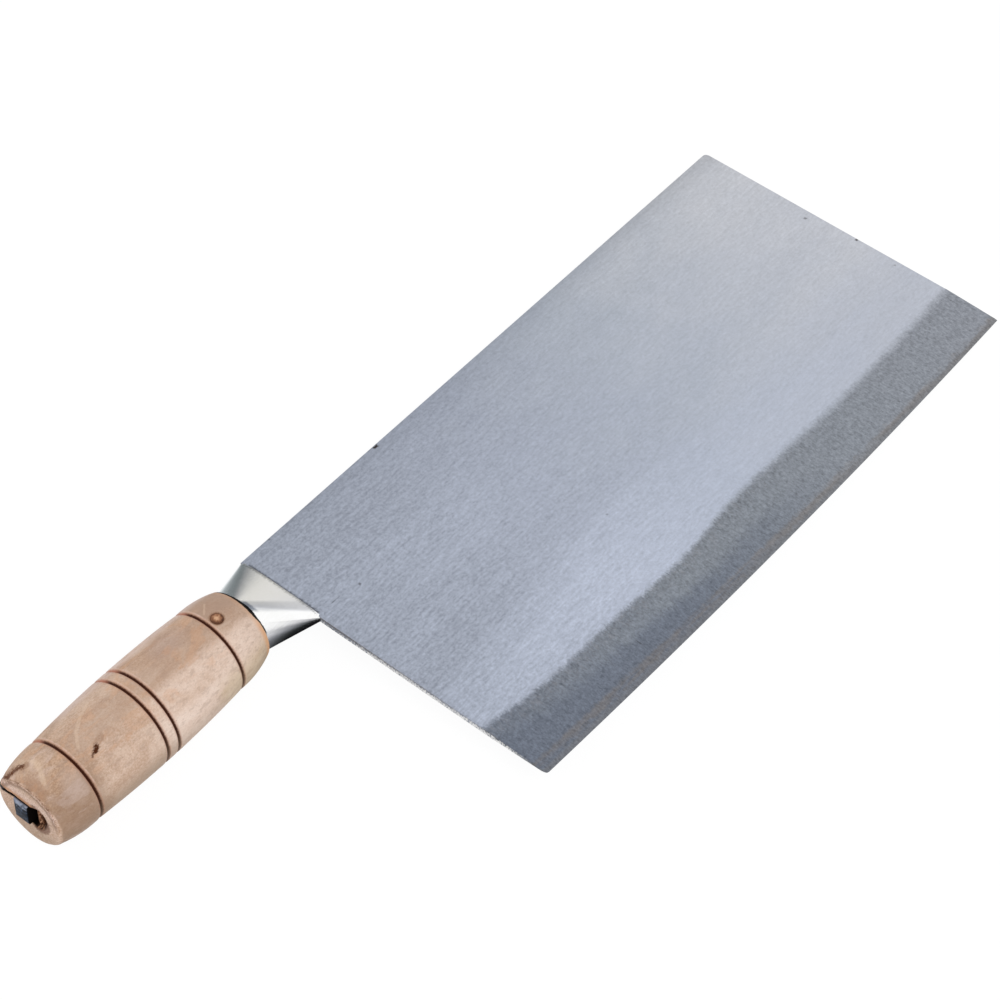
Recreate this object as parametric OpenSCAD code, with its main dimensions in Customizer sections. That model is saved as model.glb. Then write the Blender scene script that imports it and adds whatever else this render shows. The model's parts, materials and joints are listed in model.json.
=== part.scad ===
// A wide laminated kitchen cleaver with a turned wooden handle, lying on its left flank as it rests on a table.
// Everything is drawn in the knife's own frame and then laid down: X runs from the heel to the front end,
// Y points from the edge to the spine, Z out of the right flank, with zero at the spine's heel corner.

/* [Blade] */
// Length of the blade from heel to front end
blade_length = 215; // [160:1:260]
// Height of the blade from spine to the lowest point of the edge
blade_height = 110; // [70:1:130]
// Thickness of the blade at the spine
blade_thickness = 2; // [1.6:0.1:3]
// Thickness of the hard steel layer in the middle of the blade
core_thickness = 0.7; // [0.5:0.05:1]
// How far the curved edge drops below the straight line between its ends
edge_belly = 1.7; // [0.8:0.1:4]
// Distance from the heel to the lowest point of the edge
edge_low_point = 118; // [70:1:140]
// Radius of the rounded corner between the spine and the front end
front_corner_radius = 1.4; // [0.5:0.1:6]
// Radius of the rounded corner between the heel and the edge
heel_corner_radius = 1; // [0.5:0.1:4]

/* [Ground bevel] */
// Height of the ground band above the edge
bevel_height = 20; // [12:0.5:30]
// Height of the last steep bevel that makes the edge
edge_bevel_height = 1; // [0.5:0.1:2]
// Thickness of the blade where the last steep bevel starts
edge_bevel_thickness = 0.4; // [0.2:0.05:0.48]

/* [Tongue] */
// Length of the tongue that the heel sends into the bolster
tongue_length = 16; // [12:0.5:18]
// Width of the tongue
tongue_width = 8; // [6:0.1:8.8]

/* [Bolster] */
// Distance from the heel back to where the bolster becomes round
flare_length = 16; // [15:0.1:16]
// Outer diameter of the round part of the bolster
bolster_diameter = 19.6; // [18.4:0.1:21]
// Wall of the bolster
bolster_wall = 1.4; // [1:0.1:1.8]
// Width of the flattened mouth along the heel
mouth_width = 29.4; // [24:0.1:32]
// Outer thickness of the flattened mouth
mouth_thickness = 4; // [3.8:0.1:5.6]
// How far the lips of the mouth reach over the blade
lip_length = 0.6; // [0.3:0.1:2]
// Length of the straight shoulder behind the lips
shoulder_length = 1; // [0.5:0.1:2]
// Depth of the round skirt that sits inside the handle
skirt_depth = 12.5; // [12:0.5:16]
// Gap between the mouth and the blade that it closes on
mouth_gap = 0.05; // [0.02:0.01:0.2]

/* [Handle] */
// Distance from the heel back to the front face of the handle
handle_standoff = 15.5; // [15.5:0.1:16.5]
// Length of the handle from its front face to its butt
handle_length = 80; // [78:1:130]
// Distance from the spine down to the centre line of the handle
handle_drop = 13.6; // [12.5:0.1:15]
// Diameter of the handle at its front face
front_rim_diameter = 22.6; // [22:0.1:25]
// Diameter of the handle at the groove behind the front collar
front_groove_diameter = 26.6; // [25:0.1:32]
// Diameter of the handle at the groove before the butt collar
butt_groove_diameter = 26.4; // [25:0.1:32]
// Diameter of the handle at its butt
butt_rim_diameter = 23; // [22:0.1:30]
// How far the belly of the handle stands out over the line between the outer grooves
belly_rise = 1; // [0.5:0.05:3]
// How far the front collar stands out over the line between its ends
front_collar_rise = 0.62; // [0.3:0.01:1.2]
// How far the butt collar stands out over the line between its ends
butt_collar_rise = 0.5; // [0.1:0.01:1]
// Length of the collar in front of the first groove
front_collar = 12.6; // [12.2:0.1:16]
// Length of the collar behind the last groove
butt_collar = 13.2; // [10:0.1:18]
// Distance from the first groove to the first of the middle pair
pair_offset = 26; // [15:0.1:28]
// Distance between the two middle grooves
pair_spacing = 4.2; // [2.6:0.1:8]
// Width of each turned groove
groove_width = 1.1; // [0.6:0.1:2]
// Depth of each turned groove
groove_depth = 0.8; // [0.3:0.1:1.2]
// Radius of the rounded edge around the butt
butt_edge_radius = 0.8; // [0.3:0.1:2]
// Gap all round between the bolster's skirt and the wood
socket_gap = 0.2; // [0.1:0.05:0.4]

/* [Tang] */
// Width of the tang inside the bolster
tang_front_width = 9; // [9:0.1:11]
// Width of the tang at the butt
tang_back_width = 5.1; // [4:0.1:6]
// Thickness of the tang
tang_thickness = 6.4; // [5:0.1:6.6]
// Distance from the spine down to the centre of the tang inside the bolster
tang_front_drop = 13.8; // [13.2:0.1:14.6]
// Distance from the spine down to the centre of the tang at the butt
tang_back_drop = 11.5; // [11:0.1:15.5]
// Distance from the heel back to the front end of the tang
tang_setback = 7; // [7:0.1:9]
// Distance from the heel back to where the tang starts to narrow
taper_start = 29; // [27:0.5:32]
// Distance from the heel back to where the tang has its narrow width
taper_end = 48; // [40:0.5:60]
// How far the tang stands out of the butt
tang_end_length = 1; // [0.5:0.1:3]
// Gap all round between the tang and the wood
tang_gap = 0.12; // [0.05:0.01:0.3]

/* [Pin] */
// Diameter of the cross pin
pin_diameter = 3.7; // [2.5:0.1:4.2]
// Distance from the handle's front face back to the centre of the pin
pin_setback = 9.4; // [8.5:0.1:9.8]
// Distance from the spine down to the centre of the pin
pin_drop = 14.8; // [13.4:0.1:15.2]
// How far each riveted end of the pin stands out of the wood
pin_head_rise = 0.2; // [0.1:0.05:0.5]
// Gap all round between the pin and its hole
pin_gap = 0.02; // [0.01:0.01:0.05]

/* [Wedge] */
// Length of the wooden shim beside the end of the tang
wedge_length = 12; // [8:0.5:20]
// Width of the shim between the tang and the handle
wedge_width = 2.2; // [1.5:0.1:2.6]
// Thickness of the shim
wedge_thickness = 5.2; // [3:0.1:6]
// How far the shim leans away from the tang at the butt
wedge_lean = 1.5; // [0.5:0.1:2]
// How far the shim's end stays inside the butt
wedge_recess = 0.6; // [0:0.1:2]
// Gap all round between the shim and the wood
wedge_gap = 0.1; // [0.05:0.01:0.2]

/* [Hidden] */
$fn = 96;
// Number of sides of the loft between the mouth and the round part
loft_sides = 48;
// Number of straight steps in each turned curve of the handle
turning_steps = 10;
// Extra length of a cutting body past the face that it cuts
past = 1;

// Radius of the arc that the edge follows, and the angle that the blade takes up around its centre
edge_radius = blade_length * blade_length / (8 * edge_belly);
edge_half_angle = asin((blade_length + tongue_length) / (edge_radius - blade_height - past));
heel_rise = edge_low_point * edge_low_point / (2 * edge_radius);

half_blade = blade_thickness / 2;
half_core = core_thickness / 2;
slot_half = half_blade + mouth_gap;
bolster_radius = bolster_diameter / 2;
bolster_back = flare_length + skirt_depth;
socket_radius = bolster_radius + socket_gap;

// Places along the handle, as distances behind the heel
handle_back = handle_standoff + handle_length;
first_groove = handle_standoff + front_collar;
pair_front = first_groove + pair_offset;
pair_back = pair_front + pair_spacing;
last_groove = handle_back - butt_collar;
groove_places = [first_groove, pair_front, pair_back, last_groove];
butt_edge_place = handle_back - butt_edge_radius;
pin_place = handle_standoff + pin_setback;
tang_back = handle_back + tang_end_length;

// The arc of the handle's belly: its chord, its radius, and the radius of the wood at its highest point
belly_chord = [last_groove - first_groove, (butt_groove_diameter - front_groove_diameter) / 2];
belly_radius = (belly_chord * belly_chord / 4 + belly_rise * belly_rise) / (2 * belly_rise);
belly_tilt = atan2(belly_chord[1], belly_chord[0]);
belly_middle = [(first_groove + last_groove) / 2, (front_groove_diameter + butt_groove_diameter) / 4];
belly_centre = belly_middle + (belly_rise - belly_radius) * [-sin(belly_tilt), cos(belly_tilt)];
belly_over_spine = max(0, belly_centre[1] + belly_radius - handle_drop);

// At rest the knife lies on the belly of its handle and on the lower long edge of its front end
rest_run = blade_length + belly_centre[0];
rest_height = half_blade - belly_centre[1];
rest_pitch = asin(belly_radius / norm([rest_run, rest_height])) - atan2(rest_height, rest_run);
rest_floor = blade_length * sin(rest_pitch) + half_blade * cos(rest_pitch);
rest_front = blade_length * cos(rest_pitch) + half_blade * sin(rest_pitch);
rest_back = tang_back * cos(rest_pitch) + tang_thickness / 2 * sin(rest_pitch);

// Points of an arc from a to b that stands out by rise over the straight line between them
function arc_points(a, b, rise) =
    let (
        chord = norm(b - a),
        radius = (chord * chord / 4 + rise * rise) / (2 * rise),
        along = (b - a) / chord,
        out = [-along[1], along[0]],
        centre = (a + b) / 2 + (rise - radius) * out,
        half = asin(chord / 2 / radius)
    )
    [for (i = [0 : turning_steps]) let (t = half * (2 * i / turning_steps - 1))
        centre + radius * (sin(t) * along + cos(t) * out)];

// The turned outline of the handle, as [distance behind the heel, radius]
turned_outline = concat(
    arc_points([handle_standoff, front_rim_diameter / 2],
        [first_groove, front_groove_diameter / 2], front_collar_rise),
    arc_points([first_groove, front_groove_diameter / 2],
        [last_groove, butt_groove_diameter / 2], belly_rise),
    arc_points([last_groove, butt_groove_diameter / 2],
        [butt_edge_place, butt_rim_diameter / 2], butt_collar_rise),
    [for (i = [1 : turning_steps]) let (t = 90 * i / turning_steps)
        [butt_edge_place + butt_edge_radius * sin(t),
            butt_rim_diameter / 2 - butt_edge_radius * (1 - cos(t))]]
);

function wood_radius(place) = lookup(place, turned_outline);

// Lays the knife down on its left flank, with the middle of its box over the origin
module at_rest() {
    translate([(rest_back - rest_front) / 2, (blade_height - belly_over_spine) / 2, rest_floor])
        rotate([0, rest_pitch, 0])
            children();
}

// Turns something drawn along +Z into the handle's centre line, with +Z pointing to the butt
module along_handle(place) {
    translate([-place, -handle_drop, 0])
        rotate([0, -90, 0])
            children();
}

// What a rounded corner removes: the corner points to +X and +Y
module corner_waste(radius) {
    difference() {
        translate([-radius, -radius])
            square(radius + past);
        translate([-radius, -radius])
            circle(radius);
    }
}

module blade_outline() {
    difference() {
        union() {
            translate([0, -blade_height])
                square([blade_length, blade_height]);
            translate([-tongue_length, -tang_front_drop - tongue_width / 2])
                square([tongue_length + past, tongue_width]);
        }
        translate([blade_length, 0])
            corner_waste(front_corner_radius);
        translate([0, heel_rise - blade_height])
            rotate(180)
                corner_waste(heel_corner_radius);
    }
}

// Half of the section through the blade, as distances from the centre of the edge's arc
module ground_section() {
    shoulder = edge_radius - bevel_height;
    steep = edge_radius - edge_bevel_height;
    inner = edge_radius - blade_height - past;
    polygon([
        [inner, -half_blade], [shoulder, -half_blade], [steep, -edge_bevel_thickness / 2], [edge_radius, 0],
        [steep, edge_bevel_thickness / 2], [shoulder, half_blade], [inner, half_blade]
    ]);
}

// One layer of the ground blade, between two heights over its middle plane
module blade_layer(low, high) {
    intersection() {
        translate([0, 0, low])
            linear_extrude(high - low)
                blade_outline();
        translate([edge_low_point, edge_radius - blade_height, 0])
            rotate(-90 - edge_half_angle)
                rotate_extrude(angle = 2 * edge_half_angle, $fn = 3600)
                    ground_section();
    }
}

module blade_core() {
    color("lightslategray")
        blade_layer(-half_core, half_core);
}

module right_cladding() {
    color("silver")
        blade_layer(half_core, half_blade);
}

module left_cladding() {
    color("silver")
        blade_layer(-half_blade, -half_core);
}

// Plan of the tang, grown sideways by a gap
module tang_plan(back, gap) {
    front_half = tang_front_width / 2 + gap;
    back_half = tang_back_width / 2 + gap;
    polygon([
        [-tang_setback, front_half - tang_front_drop], [-taper_start, front_half - tang_front_drop],
        [-taper_end, back_half - tang_back_drop], [-back, back_half - tang_back_drop],
        [-back, -back_half - tang_back_drop], [-taper_end, -back_half - tang_back_drop],
        [-taper_start, -front_half - tang_front_drop], [-tang_setback, -front_half - tang_front_drop]
    ]);
}

// The hole for the cross pin, or the pin itself, through everything that it crosses
module cross_pin(radius, half_length) {
    translate([-pin_place, -pin_drop, -half_length])
        cylinder(r = radius, h = 2 * half_length);
}

module pin_hole() {
    cross_pin(pin_diameter / 2 + pin_gap, front_groove_diameter);
}

// A bar that forks over the blade's tongue inside the bolster and runs through the whole handle
module tang() {
    color("dimgray")
        difference() {
            linear_extrude(tang_thickness, center = true)
                tang_plan(tang_back, 0);
            translate([-tongue_length, -tang_front_drop - tang_front_width, -half_blade])
                cube([tongue_length, 2 * tang_front_width, blade_thickness]);
            pin_hole();
        }
}

// A flat slab with round ends, along the heel, for the mouth of the bolster
module mouth_slab(place, width, thickness, length) {
    end_centre = (width - thickness) / 2;
    for (side = [-1, 1])
        translate([place, side * end_centre - mouth_width / 2, 0])
            rotate([0, 90, 0])
                cylinder(r = thickness / 2, h = length, $fn = loft_sides);
}

// The loft from the round part to the flat mouth
module flare(radius, place, width, thickness, length) {
    hull() {
        along_handle(flare_length)
            cylinder(r = radius, h = 0.01, $fn = loft_sides);
        mouth_slab(place, width, thickness, length);
    }
}

// A hollow steel collar: a round skirt inside the handle, and a flare that closes on the blade's heel
module bolster() {
    inner_radius = bolster_radius - bolster_wall;
    color("gainsboro")
        difference() {
            union() {
                hull() {
                    along_handle(flare_length)
                        cylinder(r = bolster_radius, h = 0.01, $fn = loft_sides);
                    mouth_slab(-shoulder_length, mouth_width, mouth_thickness, shoulder_length);
                    mouth_slab(0, mouth_width - lip_length, mouth_thickness - lip_length / 2, lip_length);
                }
                along_handle(flare_length)
                    cylinder(r = bolster_radius, h = skirt_depth);
            }
            flare(inner_radius, -shoulder_length - bolster_wall, mouth_width - 2 * bolster_wall,
                2 * slot_half, bolster_wall / 2);
            along_handle(flare_length - past / 2)
                cylinder(r = inner_radius, h = skirt_depth + past);
            translate([-mouth_gap, -mouth_width - past, -slot_half])
                cube([lip_length + past, mouth_width + 2 * past, 2 * slot_half]);
            translate([-tang_setback, -tang_front_drop - tongue_width / 2 - mouth_gap, -slot_half])
                cube([tang_setback + past, tongue_width + 2 * mouth_gap, 2 * slot_half]);
            pin_hole();
        }
}

module groove_ring(place) {
    top = wood_radius(place);
    along_handle(place)
        rotate_extrude()
            polygon([
                [top - groove_depth, 0],
                [top + groove_depth, -groove_width], [top + groove_depth, groove_width]
            ]);
}

// Plan of the shim beside the tang, from where it is tight to where it leans away at the butt
module wedge_plan(back, near, far) {
    root = -tang_back_drop - tang_back_width / 2;
    front = handle_back - wedge_recess - wedge_length;
    lean = wedge_lean * (back - front) / wedge_length;
    polygon([
        [-front, root - near], [-back, root - near - lean],
        [-back, root - far - lean], [-front, root - far]
    ]);
}

// A turned grip with four burnt grooves, bored for the bolster and slotted for the tang
module handle() {
    color("tan")
        difference() {
            along_handle(0)
                rotate_extrude()
                    polygon([
                        [0, handle_standoff],
                        for (p = turned_outline) [p[1], p[0]],
                        [0, handle_back]
                    ]);
            for (place = groove_places)
                groove_ring(place);
            along_handle(handle_standoff - past)
                cylinder(r = socket_radius, h = bolster_back + socket_gap - handle_standoff + past);
            linear_extrude(tang_thickness + 2 * tang_gap, center = true)
                tang_plan(tang_back, tang_gap);
            linear_extrude(wedge_thickness + 2 * wedge_gap, center = true)
                wedge_pocket_plan();
            pin_hole();
        }
}

// The pocket for the shim, open to the tang's slot
module wedge_pocket_plan() {
    wedge_plan(handle_back + past, 0, wedge_width + wedge_gap);
    translate([-handle_back - past, -tang_back_drop - tang_back_width / 2 - wedge_lean])
        square([wedge_length + wedge_recess + past, wedge_lean]);
}

module handle_pin() {
    color("peru")
        cross_pin(pin_diameter / 2, wood_radius(pin_place) + pin_head_rise);
}

module tang_wedge() {
    color("burlywood")
        linear_extrude(wedge_thickness, center = true)
            wedge_plan(handle_back - wedge_recess, wedge_gap, wedge_width);
}

at_rest() blade_core();
at_rest() right_cladding();
at_rest() left_cladding();
at_rest() tang();
at_rest() bolster();
at_rest() handle();
at_rest() handle_pin();
at_rest() tang_wedge();
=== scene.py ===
import json
from functools import reduce
from math import asin, atan2, copysign, cos, degrees, hypot, pi, radians, sin, sqrt

import bmesh
import bpy
from mathutils import Matrix, Vector, noise


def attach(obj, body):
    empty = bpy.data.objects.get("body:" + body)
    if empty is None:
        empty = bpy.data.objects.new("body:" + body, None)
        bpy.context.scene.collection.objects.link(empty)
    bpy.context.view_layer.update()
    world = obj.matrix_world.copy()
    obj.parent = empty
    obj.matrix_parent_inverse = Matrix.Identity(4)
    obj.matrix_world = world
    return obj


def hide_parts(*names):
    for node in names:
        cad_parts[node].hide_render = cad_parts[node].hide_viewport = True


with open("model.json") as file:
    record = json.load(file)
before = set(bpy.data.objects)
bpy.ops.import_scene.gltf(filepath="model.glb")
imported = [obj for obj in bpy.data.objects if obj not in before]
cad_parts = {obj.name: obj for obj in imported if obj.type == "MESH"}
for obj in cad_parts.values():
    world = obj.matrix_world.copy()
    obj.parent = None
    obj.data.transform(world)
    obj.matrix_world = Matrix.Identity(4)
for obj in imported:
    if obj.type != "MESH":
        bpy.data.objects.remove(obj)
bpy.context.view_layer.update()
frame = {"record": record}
scene = bpy.context.scene

# The knife's own axes. X runs from the heel to the front end, Y from the edge to the spine and Z out
# of the right flank, in millimetres from the spine's heel corner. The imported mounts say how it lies.
MM = 0.001
SPINE_MOUNT_PLACE = 110
mounts = {mount["name"]: mount for mount in frame["record"]["mounts"]}
forward = -Vector(mounts["grip"]["axis"])
upward = Vector(mounts["flank"]["axis"])
sideways = upward.cross(forward)
knife = Matrix((forward, sideways, upward)).transposed().to_4x4()
knife.translation = Vector(mounts["spine"]["pos_m"]) - forward * SPINE_MOUNT_PLACE * MM
knife = knife @ Matrix.Scale(MM, 4)
to_knife = knife.inverted()

# The camera looks down over the heel, past the handle, with the long lens of a catalogue photograph.
CAMERA_PLACE = Vector((-363.3, -365.5, 642.5))
CAMERA_RIGHT = Vector((0.6308, -0.7755, 0.0268))
CAMERA_DOWN = Vector((-0.5842, -0.4974, -0.6413))
LENS = 107.14
SENSOR = 36
camera_data = bpy.data.cameras.new("camera")
camera_data.lens = LENS
camera_data.sensor_width = SENSOR
camera_data.sensor_fit = "HORIZONTAL"
camera_data.clip_start = 0.05
camera = bpy.data.objects.new("camera", camera_data)
scene.collection.objects.link(camera)
away = CAMERA_RIGHT.cross(CAMERA_DOWN)
turn = Matrix((CAMERA_RIGHT, -CAMERA_DOWN, -away)).transposed()
camera.matrix_world = knife @ Matrix.Translation(CAMERA_PLACE) @ turn.to_4x4() @ Matrix.Scale(1 / MM, 4)
scene.camera = camera
scene.view_settings.view_transform = "Standard"

# The blade is forge welded from three layers: a hard core between two soft claddings. It is ground
# along its flanks, and the wide bevel above the edge is ground again, across, up to a wavy line.
BLADE_LENGTH = 215
BLADE_HEIGHT = 110
HALF_BLADE = 1
HALF_CORE = 0.35
EDGE_BELLY = 1.7
WORN_EDGE = 0.12
SHARP_CORNER = 1
WELD_WANDER = 0.35
EDGE_LOW_POINT = 118
STEEP_HEIGHT = 1
HALF_STEEP = 0.2
SOFT_START = 1.2
FRONT_CORNER_RADIUS = 1.4
HEEL_CORNER_RADIUS = 1
TONGUE = 16
TONGUE_ROWS = (9.8, 17.8)
# Distance behind the heel, and distance from the spine, of the wavy line where the bevel starts
WAVY_LINE = ((0, 86.2), (8, 87.6), (15.7, 89), (28, 89.9), (40.7, 90.3), (53, 90.6), (65.7, 91.2),
             (79, 92), (87, 91.8), (93, 91), (99, 90.3), (109, 89.8), (120, 90), (132, 90.3),
             (145, 90.7), (157, 91.2), (170, 91.2), (182, 91), (190, 90.8), (199, 90.5), (207, 90),
             (215, 89.8))


def srgb(red, green, blue):
    """A colour from 0 to 255, as the eye sees it, in the linear values that a shader takes."""
    def linear(value):
        share = value / 255
        return share / 12.92 if share <= 0.04045 else ((share + 0.055) / 1.055) ** 2.4
    return (linear(red), linear(green), linear(blue), 1)


def operation(name):
    return lambda self, *others: self.math(name, self, *others)


class Wire:
    """One socket of a finish. Arithmetic on it adds Math nodes."""

    def __init__(self, finish, socket):
        self.finish = finish
        self.socket = socket

    def math(self, name, *values):
        return self.finish.node("Math", {"operation": name}, dict(enumerate(values)))

    __add__ = __radd__ = operation("ADD")
    __mul__ = __rmul__ = operation("MULTIPLY")
    __sub__ = operation("SUBTRACT")
    __truediv__ = operation("DIVIDE")
    __abs__ = operation("ABSOLUTE")
    larger = operation("MAXIMUM")
    smaller = operation("MINIMUM")
    root = operation("SQRT")
    wave = operation("SINE")

    def __rsub__(self, other):
        return self.math("SUBTRACT", other, self)

    def rise(self, low, high):
        """0 below low, 1 above high and a smooth step between them; low may be the larger one."""
        return self.finish.node("MapRange", {"interpolation_type": "SMOOTHSTEP"},
                                {0: self, 1: low, 2: high})

    def near(self, inner, outer):
        """1 within inner of zero, on both sides, and 0 beyond outer."""
        return 1 - abs(self).rise(inner, outer)

    def sway(self, amount):
        """A noise from 0 to 1 made to swing around zero, over amount in all."""
        return (self - 0.5) * amount

    def coated(self, *coats):
        """This colour under coats of (colour, how much it covers), the first one lowest."""
        tone = self
        for colour, share in coats:
            tone = self.finish.blend(share, tone, colour)
        return tone


class Finish:
    """The nodes of a material, or of the world, with the few kinds that this file draws with."""

    def __init__(self, name, constants, blocks=bpy.data.materials):
        self.block = blocks.new(name)
        self.block.use_nodes = True
        self.nodes = self.block.node_tree.nodes
        self.surface = next(node for node in self.nodes if node.type.startswith("OUTPUT")).inputs["Surface"]
        self.shader = self.surface.links[0].from_node
        for socket, value in constants.items():
            self.shader.inputs[socket].default_value = value

    def node(self, kind, settings=None, inputs=None, output=0):
        made = self.nodes.new("ShaderNode" + kind)
        for name, value in (settings or {}).items():
            if name == "stops":
                stops = made.color_ramp.elements
                for index, (place, colour) in enumerate(value):
                    stop = stops[index] if index < 2 else stops.new(place)
                    stop.position = place
                    stop.color = srgb(*colour)
            else:
                setattr(made, name, value)
        for name, value in (inputs or {}).items():
            self.feed(made.inputs[name], value)
        return Wire(self, made.outputs[output])

    def feed(self, socket, value):
        if isinstance(value, Wire):
            self.block.node_tree.links.new(value.socket, socket)
        else:
            socket.default_value = value

    def paint(self, **sockets):
        for name, value in sockets.items():
            self.feed(self.shader.inputs[name.replace("_", " ").title()], value)

    def axes(self):
        """X, Y and Z of the point on the knife, in its own axes and in millimetres."""
        self.point = self.node("Mapping", {"vector_type": "POINT"}, {
            "Vector": self.node("TexCoord", output=3), "Location": to_knife.to_translation(),
            "Rotation": to_knife.to_euler(), "Scale": to_knife.to_scale()})
        return self.parts(self.point)

    def parts(self, vector):
        split = self.node("SeparateXYZ", inputs={0: vector})
        return [Wire(self, socket) for socket in split.socket.node.outputs]

    def seen_by(self, *rays):
        """1 for the named kinds of ray and 0 for all others."""
        path = self.node("LightPath").socket.node
        return reduce(Wire.larger, [Wire(self, path.outputs[ray]) for ray in rays])

    def attribute(self, name):
        return self.node("Attribute", {"attribute_name": name}, output=2)

    def grain(self, scale, detail=2, roughness=0.5, shift=(0, 0, 0), distortion=0):
        """Noise from 0 to 1 with scale features per millimetre along each of the knife's axes."""
        point = self.node("VectorMath", {"operation": "MULTIPLY_ADD"},
                          {0: self.point, 1: scale, 2: shift})
        return self.node("TexNoise", None, {"Vector": point, "Scale": 1, "Detail": detail,
                                                      "Roughness": roughness, "Distortion": distortion})

    def ramp(self, value, stops):
        return self.node("ValToRGB", {"stops": stops}, {0: value})

    def blend(self, factor, first, second, mode="MIX"):
        first, second = [srgb(*tone) if isinstance(tone, tuple) else tone for tone in (first, second)]
        return self.node("Mix", {"data_type": "RGBA", "blend_type": mode},
                         {0: factor, 6: first, 7: second}, output=2)

    def stroke(self, x, y, start, end, width):
        """1 on a line between two points and 0 beyond its width."""
        along, across = end[0] - start[0], end[1] - start[1]
        off_x, off_y = x - start[0], y - start[1]
        share = (off_x * along + off_y * across) / (along * along + across * across)
        share = share.larger(0).smaller(1)
        off_x, off_y = off_x - share * along, off_y - share * across
        return 1 - (off_x * off_x + off_y * off_y).root().rise(width * 0.4, width)

    def relief(self, height, distance):
        return self.node("Bump", None, {"Strength": 1, "Distance": distance, "Height": height})


def wavy_line(x):
    for (x0, v0), (x1, v1) in zip(WAVY_LINE, WAVY_LINE[1:]):
        if x <= x1:
            share = (x - x0) / (x1 - x0)
            return v0 + (v1 - v0) * (share * share * (3 - 2 * share) * 0.5 + share * 0.5)
    return WAVY_LINE[-1][1]


def rounding(radius, into):
    """How far a rounded corner has fallen away at a distance into it."""
    into = min(max(into, 0), radius)
    return radius - sqrt(radius ** 2 - into ** 2)


def edge_line(x):
    radius = BLADE_LENGTH ** 2 / (8 * EDGE_BELLY)
    lift = rounding(HEEL_CORNER_RADIUS, HEEL_CORNER_RADIUS - x)
    return BLADE_HEIGHT - radius + sqrt(radius ** 2 - (x - EDGE_LOW_POINT) ** 2) - lift


def spine_line(x):
    return rounding(FRONT_CORNER_RADIUS, x - BLADE_LENGTH + FRONT_CORNER_RADIUS)


def half_thickness(x, v):
    line = wavy_line(x)
    steep = edge_line(x) - STEEP_HEIGHT
    if v >= steep:
        return max(0, HALF_STEEP * (edge_line(x) - v) / STEEP_HEIGHT)
    below = max(0, v - line)
    slope = (HALF_BLADE - HALF_STEEP) / (steep - line)
    eased = below * below / (2 * SOFT_START) if below < SOFT_START else below - SOFT_START / 2
    eased *= (steep - line) / (steep - line - SOFT_START / 2)
    return HALF_BLADE - slope * eased


def weld_line(x):
    """Distance from the spine at which the grinding comes through the cladding to the core."""
    steep = edge_line(x) - STEEP_HEIGHT
    full = (HALF_CORE - HALF_STEEP) / (HALF_BLADE - HALF_STEEP) * (steep - wavy_line(x))
    return steep - full + WELD_WANDER * noise.noise(Vector((x * 0.12, 0, 7)))


END_COLUMNS = (0, 0.3, 0.6, 1, 1.6)
COLUMN_STEP = 2.1
middle_columns = int((BLADE_LENGTH - 2 * END_COLUMNS[-1]) / COLUMN_STEP)
columns = [*END_COLUMNS]
for count in range(1, middle_columns):
    columns.append(END_COLUMNS[-1] + (BLADE_LENGTH - 2 * END_COLUMNS[-1]) * count / middle_columns)
columns += [BLADE_LENGTH - place for place in reversed(END_COLUMNS)]


def cladding_rows(x):
    line = wavy_line(x)
    weld = weld_line(x)
    return [spine_line(x), *TONGUE_ROWS, 30, 45, 60, 74, line - 6, line - 1.5, line, line + 0.4, line + 0.8,
            line + 1.2, line + 3, (line + weld) / 2 + 1, weld - 0.8, weld]


def core_rows(x):
    edge = edge_line(x)
    return [spine_line(x), *TONGUE_ROWS, 45, 74, wavy_line(x), weld_line(x) - 0.8, weld_line(x),
            edge - 2.4, edge - STEEP_HEIGHT - 0.3, edge - STEEP_HEIGHT, edge - 0.4, edge]


def verts_of(made):
    return [item for item in made["geom"] if isinstance(item, bmesh.types.BMVert)]


def layer(rows_at, low, high):
    """One steel layer as a grid over the blade, extruded down to its lower face, with its tongue."""
    bm = bmesh.new()
    rows = len(rows_at(0))
    bmesh.ops.create_grid(bm, x_segments=len(columns) - 1, y_segments=rows - 1, size=0.5)
    ground = bm.verts.layers.float.new("ground")
    edge_height = bm.verts.layers.float.new("edge_height")
    for vert in bm.verts:
        x = columns[round((vert.co.x + 0.5) * (len(columns) - 1))]
        v = rows_at(x)[round((0.5 - vert.co.y) * (rows - 1))]
        vert[ground] = v - wavy_line(x)
        vert[edge_height] = edge_line(x) - v
        vert.co = (x, -v, high(x, v))
    for vert in verts_of(bmesh.ops.extrude_face_region(bm, geom=bm.faces[:])):
        vert.co.z = low(vert.co.x, -vert.co.y)
    tongue = [face for face in bm.faces
              if all(abs(vert.co.x) < 1e-6 for vert in face.verts)
              and TONGUE_ROWS[0] < -face.calc_center_median().y < TONGUE_ROWS[1]]
    drawn = bmesh.ops.extrude_face_region(bm, geom=tongue)
    bmesh.ops.delete(bm, geom=tongue, context="FACES")
    bmesh.ops.translate(bm, vec=(-TONGUE, 0, 0), verts=verts_of(drawn))
    bmesh.ops.remove_doubles(bm, verts=bm.verts, dist=1e-4)
    bmesh.ops.dissolve_degenerate(bm, edges=bm.edges, dist=1e-4)
    bmesh.ops.recalc_face_normals(bm, faces=bm.faces)
    return bm


def bevel(bm, edges, width, segments):
    bmesh.ops.bevel(bm, geom=edges, offset=width, offset_type="OFFSET", segments=segments, profile=0.5,
                    affect="EDGES", material=-1, clamp_overlap=True)


def soften_outline(bm):
    """A small bevel along the long outer edges of a cladding, worn as on a used blade."""
    bm.normal_update()
    rim = [edge for edge in bm.edges
           if len(edge.link_faces) == 2 and edge.calc_face_angle() > SHARP_CORNER
           and all(abs(abs(vert.co.z) - HALF_BLADE) < 1e-3 for vert in edge.verts)
           and all(vert.co.x > -0.01 for vert in edge.verts)]
    bevel(bm, rim, WORN_EDGE, 2)


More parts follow.
